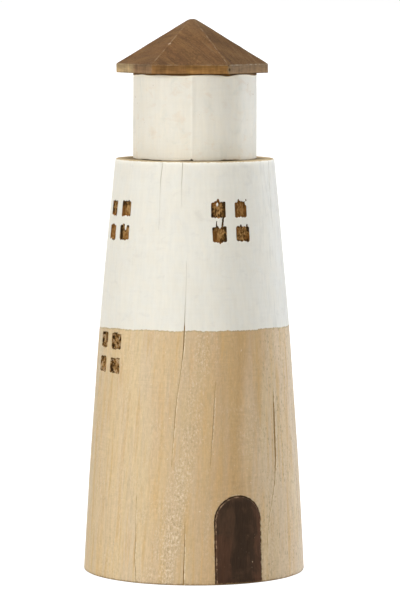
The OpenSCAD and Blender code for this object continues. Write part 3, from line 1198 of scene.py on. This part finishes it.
# Marks on the roof, as (turn, radius, height over the underside, size, colour).
ROOF_MARKS = (
    (-56.3, 26.2, 18.1, 1.1, (0.42, 0.3, 0.19)),
    (10.8, 39.9, 8.2, 1.3, (0.085, 0.043, 0.016)),
    (4.0, 46.6, 5.4, 1.0, (0.11, 0.065, 0.03)),
    (5.0, 46.3, 2.7, 2.5, (0.26, 0.165, 0.07)),
    (5.0, 46.3, 2.7, 1.3, (0.09, 0.048, 0.017)),
)

# A tint for each slope and a colour for its band, by the turn of the corner that it starts from.
SLOPE_TINTS = (
    (-176.3, (0.97, 0.93, 0.84)),
    (-116.3, (0.97, 0.97, 0.93)),
    (-56.3, (0.89, 0.86, 0.76)),
    (3.7, (0.86, 0.88, 0.82)),
    (63.7, (0.95, 0.92, 0.85)),
    (123.7, (1.0, 0.97, 0.9)),
)
BAND_COLOURS = (
    (-176.3, (0.22, 0.12, 0.05)),
    (-116.3, (0.25, 0.145, 0.07)),
    (-56.3, (0.245, 0.122, 0.04)),
    (-30, (0.282, 0.14, 0.041)),
    (3.7, (0.25, 0.15, 0.066)),
    (63.7, (0.23, 0.125, 0.05)),
    (123.7, (0.24, 0.13, 0.055)),
)

# Where the hips are rubbed light and not painted dark as shade, and how much of the arris over the band is,
# as greys by turn.
LIGHT_HIPS = ((-180, (0, 0, 0)), (-75.6, (1, 1, 1)), (21.6, (0, 0, 0)))
LIGHT_ARRIS = ((-180, (0.25, 0.25, 0.25)), (3.7, (0.62, 0.62, 0.62)), (63.7, (0.3, 0.3, 0.3)))


def stained_slopes(nodes, place, grain_place, grain, fraction):
    """The colour of the roof's slopes: stain over sawn wood."""
    base = nodes.ramp(grain["Streaks"], [
        (0.25, (0.112, 0.052, 0.019)), (0.5, (0.158, 0.08, 0.032)), (0.75, (0.205, 0.112, 0.049))])
    base = base.coat(grain["Bands"].step(0.45, 0.7, 0.0, 0.5), (0.195, 0.112, 0.052))
    blotch = nodes.noise(place, 0.16, 0.16, 3, 0.6, 0.4)
    specks = nodes.noise(place, 0.8, 0.8, 3, 0.7, 0.3)
    cloud = nodes.noise(place, 0.06, 0.06)
    tone = blotch.spread(0.9, 1.1) + specks.spread(-0.24, 0.24) + cloud.spread(-0.15, 0.13)
    base = base.shade(tone + grain["Fibres"].spread(-0.22, 0.22, 0.25, 0.75))
    saw = nodes.noise(grain_place, 0.55, 0.012, 1)
    base = base.coat(saw.step(0.62, 0.7, 0.0, 0.4), (0.08, 0.042, 0.02))
    base = base.coat(saw.step(0.34, 0.28, 0.0, 0.35), (0.25, 0.155, 0.082))
    return base.tint(nodes.round_ramp(fraction, SLOPE_TINTS))


def stained_band(nodes, place, z, fraction):
    """The colour of the upright band round the eaves, paler at one end of the left side."""
    level = nodes.noise(place, 0.09, 0.5, 3, 0.6)
    upright = nodes.noise(place, 0.45, 0.06, 3, 0.65)
    pale_end = fraction.step(turn_share(-82), turn_share(-91))
    pale_end = pale_end * fraction.step(turn_share(-116.5), turn_share(-116.1))
    band = nodes.round_ramp(fraction, BAND_COLOURS).coat(pale_end, (0.48, 0.335, 0.17))
    band = band.shade(z.spread(1.32, 0.74, 0.6, 5.5)).shade(z.step(0.0, 0.8, 0.6, 1.0))
    return band.shade(upright.spread(0.78, 1.2) + level.spread(-0.26, 0.26))


def make_roof_material():
    """Brown stain over sawn wood, rubbed light along the front hips and the eaves."""
    material, nodes, shader = new_material("Brown Stain")
    place = nodes.place()
    low, high = box_of("roof")
    underside = Vector(((low.x + high.x) / 2, (low.y + high.y) / 2, low.z))
    seat = nodes.wire("ShaderNodeVectorMath", {0: place, 1: underside}, operation="SUBTRACT")
    z = nodes.height(seat)
    fraction = nodes.turn(seat) / TURN + 0.5
    across, lengthways, up = nodes.parts(nodes.rotate(place, math.radians(-17.5)))
    grain_place = nodes.wire("ShaderNodeCombineXYZ", {0: across, 1: up * 0.12, 2: lengthways})
    grain = use_group(nodes, "Wood Grain", {"Place": grain_place, "Across": 1.3, "Along": 2.4})
    base = stained_slopes(nodes, place, grain_place, grain, fraction)
    base = base.coat(z.step(20, 32, 0.0, 0.3), (0.235, 0.145, 0.075))
    base = base.coat(z.step(5.8, 5.2), stained_band(nodes, place, z, fraction))

    rubbed = nodes.noise(place, 0.3, 0.3, 3, 0.65)
    hip = nodes.attribute("hip")
    front = nodes.round_ramp(fraction, LIGHT_HIPS)
    light = hip.step(0.72, 0.97) * rubbed.step(0.44, 0.62, 0.08, 0.55)
    base = base.coat(light * front, (0.34, 0.235, 0.14))
    # Painted shade: a dark line along the hips away from the front, which show at the roof's outline.
    dark = hip.step(0.4, 0.8, 0.0, 0.55) * (1.0 - front)
    base = base.coat(dark * z.step(5.3, 6.5), (0.085, 0.055, 0.042))
    arris = z.step(4.9, 5.4) * z.step(5.9, 5.55) * rubbed.step(0.4, 0.62, 0.15, 0.9)
    base = base.coat(arris * nodes.round_ramp(fraction, LIGHT_ARRIS), (0.42, 0.35, 0.235))
    for turn, radius, height, size, mark in ROOF_MARKS:
        points = {0: seat, 1: polar(radius, turn, height)}
        away = nodes.wire("ShaderNodeVectorMath", points, "Value", operation="DISTANCE")
        base = base.coat(away.step(size, size * 0.45), mark)
    set_finish(nodes, shader, base, grain["Streaks"].spread(0.6, 0.75), grain["Fibres"], 0.12)
    return material


def make_dowel_material():
    """Bare beech with fine grain and short dark flecks."""
    material, nodes, shader = new_material("Beech")
    grain = use_group(nodes, "Wood Grain", {"Place": nodes.place(), "Across": 2.0, "Along": 2.0})
    base = nodes.mix(grain["Streaks"], (0.5, 0.32, 0.17), (0.66, 0.46, 0.27))
    base = base.coat(grain["Pores"] * 0.6, (0.3, 0.17, 0.08))
    set_finish(nodes, shader, base, grain["Streaks"].spread(0.5, 0.65), grain["Fibres"], 0.08, 0.35)
    return material


# ---------------------------------------------------------------- operators

class LIGHTHOUSE_OT_effects(bpy.types.Operator):
    """Make the grain, sanding and chalk paint effects that the finishes share"""
    bl_idname = "lighthouse.effects"
    bl_label = "Shared Effects"

    def execute(self, context):
        make_grain_group()
        make_tool_group()
        make_chalk_group()
        return {"FINISHED"}


class LIGHTHOUSE_OT_tower(bpy.types.Operator):
    """Turn, carve, paint and stain the log tower"""
    bl_idname = "lighthouse.tower"
    bl_label = "Tower"

    def execute(self, context):
        settings = context.scene.lighthouse_tower
        log = TowerCarver(settings).build()
        finish = make_tower_material(settings)
        finish_piece(log, "carved_tower", "tower", finish, 38)
        return {"FINISHED"}


class LIGHTHOUSE_OT_lantern(bpy.types.Operator):
    """Make the lantern room"""
    bl_idname = "lighthouse.lantern"
    bl_label = "Lantern Room"

    def execute(self, context):
        block = build_lantern(context.scene.lighthouse_lantern)
        paint = make_lantern_material()
        finish_piece(block, "planed_lantern_room", "lantern_room", paint, 50)
        return {"FINISHED"}


class LIGHTHOUSE_OT_roof(bpy.types.Operator):
    """Cut and stain the hexagonal roof"""
    bl_idname = "lighthouse.roof"
    bl_label = "Roof"

    def execute(self, context):
        block = RoofCutter(context.scene.lighthouse_roof).build()
        stain = make_roof_material()
        finish_piece(block, "stained_roof", "roof", stain, 24)
        return {"FINISHED"}


class LIGHTHOUSE_OT_dowels(bpy.types.Operator):
    """Give the two dowel pins their beech"""
    bl_idname = "lighthouse.dowels"
    bl_label = "Dowel Pins"

    def execute(self, context):
        beech = make_dowel_material()
        for name in ("lower_dowel", "upper_dowel"):
            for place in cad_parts[name].material_slots:
                place.material = beech
        return {"FINISHED"}


# Radius of the floor and distance of the lamps' objects, in metres.
FLOOR_RADIUS = 60
LAMP_DISTANCE = 2

# Lights as (name, turn from the camera, height, spread, strength, colour), with angles in degrees.
STUDIO_LIGHTS = (
    ("left_light", -60, 6, 30, 2.33, (1, 0.99, 0.98)),
    ("front_light", 30, 6, 30, 1.46, (1, 1, 1)),
    ("right_back_light", 124, 6, 30, 1.73, (1, 1.1, 1.32)),
    ("left_back_light", -150, 6, 30, 0.74, (1, 1, 1)),
    ("ceiling_light", 0, 90, 18, 2.47, (1, 1, 1)),
)


class LIGHTHOUSE_OT_stage(bpy.types.Operator):
    """Set the floor, the lights and the camera"""
    bl_idname = "lighthouse.stage"
    bl_label = "Stage"

    def execute(self, context):
        settings = context.scene.lighthouse_stage
        make_floor()
        make_world(context.scene)
        camera_turn = math.degrees(settings.camera_turn)
        for name, turn, height, spread, strength, tint in STUDIO_LIGHTS:
            make_sun(name, camera_turn + turn, height, spread, strength, tint)
        make_camera(context.scene, settings)
        context.scene.view_settings.view_transform = "Standard"
        return {"FINISHED"}


def make_floor():
    """A wide plain floor."""
    bm = bmesh.new()
    bmesh.ops.create_circle(bm, cap_ends=True, segments=96, radius=FLOOR_RADIUS)
    mesh = bpy.data.meshes.new("floor")
    bm.to_mesh(mesh)
    bm.free()
    floor = link_new("floor", mesh)
    material, nodes, shader = new_material("Pale Floor")
    seen = nodes.wire("ShaderNodeLightPath", None, "Is Camera Ray")
    nodes.fill(shader.inputs, {
        "Base Color": (0.35, 0.35, 0.35, 1), "Roughness": 0.9, "Specular IOR Level": 0,
        "Emission Color": (1, 1, 1, 1), "Emission Strength": seen * 0.85})
    mesh.materials.append(material)


def make_world(scene):
    """A white backdrop that adds only a little light of its own."""
    world = bpy.data.worlds.new("Backdrop")
    world.use_nodes = True
    nodes = Nodes(world.node_tree)
    seen = nodes.wire("ShaderNodeLightPath", None, "Is Camera Ray")
    background = world.node_tree.nodes["Background"]
    nodes.fill(background.inputs, {"Color": (1, 1, 1, 1), "Strength": seen.spread(0.15, 1.0, 0.0, 1.0)})
    scene.world = world


def make_sun(name, turn, height, spread, strength, tint):
    """A broad soft light from a turn and a height, both in degrees."""
    light = bpy.data.lights.new(name, "SUN")
    light.energy = strength
    light.angle = math.radians(spread)
    light.color = tint
    lamp = link_new(name, light)
    toward = polar(math.cos(math.radians(height)), turn, math.sin(math.radians(height)))
    lamp.rotation_euler = toward.to_track_quat("Z", "Y").to_euler()
    lamp.location = toward * LAMP_DISTANCE


def make_camera(scene, settings):
    """A long lens, a little above the ornament's middle and looking slightly down."""
    data = bpy.data.cameras.new("camera")
    data.lens = settings.lens
    data.sensor_width = 36
    data.clip_end = 200
    camera = link_new("camera", data)
    turn = math.degrees(settings.camera_turn)
    camera.location = polar(settings.camera_distance, turn, settings.camera_height)
    facing = Matrix.Rotation(math.radians(turn) - settings.aim, 4, "Z")
    tilt = Matrix.Rotation(math.radians(90) - settings.pitch, 4, "X")
    roll = Matrix.Rotation(settings.roll, 4, "Z")
    camera.rotation_euler = (facing @ tilt @ roll).to_euler()
    scene.camera = camera


class LIGHTHOUSE_PT_panel(bpy.types.Panel):
    """The pieces of the ornament, in the order they are made"""
    bl_idname = "LIGHTHOUSE_PT_panel"
    bl_label = "Wooden Lighthouse"
    bl_space_type = "VIEW_3D"
    bl_region_type = "UI"
    bl_category = "Lighthouse"

    def draw(self, context):
        for operator in STEPS:
            self.layout.operator(operator.bl_idname)
        for name in SETTINGS:
            group = getattr(context.scene, name)
            box = self.layout.box()
            for key in group.__annotations__:
                box.prop(group, key)


SETTINGS = {
    "lighthouse_tower": TowerSettings,
    "lighthouse_lantern": LanternSettings,
    "lighthouse_roof": RoofSettings,
    "lighthouse_stage": StageSettings,
}
STEPS = (
    LIGHTHOUSE_OT_effects,
    LIGHTHOUSE_OT_tower,
    LIGHTHOUSE_OT_lantern,
    LIGHTHOUSE_OT_roof,
    LIGHTHOUSE_OT_dowels,
    LIGHTHOUSE_OT_stage,
)
CLASSES = (*SETTINGS.values(), *STEPS, LIGHTHOUSE_PT_panel)


def register():
    """Adds the settings, the operators and the panel."""
    for item in CLASSES:
        bpy.utils.register_class(item)
    for name, group in SETTINGS.items():
        setattr(bpy.types.Scene, name, bpy.props.PointerProperty(type=group))


def unregister():
    """Takes them away again."""
    for name in SETTINGS:
        delattr(bpy.types.Scene, name)
    for item in reversed(CLASSES):
        bpy.utils.unregister_class(item)


def main():
    """Makes the whole scene."""
    register()
    bpy.ops.lighthouse.effects()
    bpy.ops.lighthouse.tower()
    bpy.ops.lighthouse.lantern()
    bpy.ops.lighthouse.roof()
    bpy.ops.lighthouse.dowels()
    bpy.ops.lighthouse.stage()


if __name__ == "__main__":
    main()
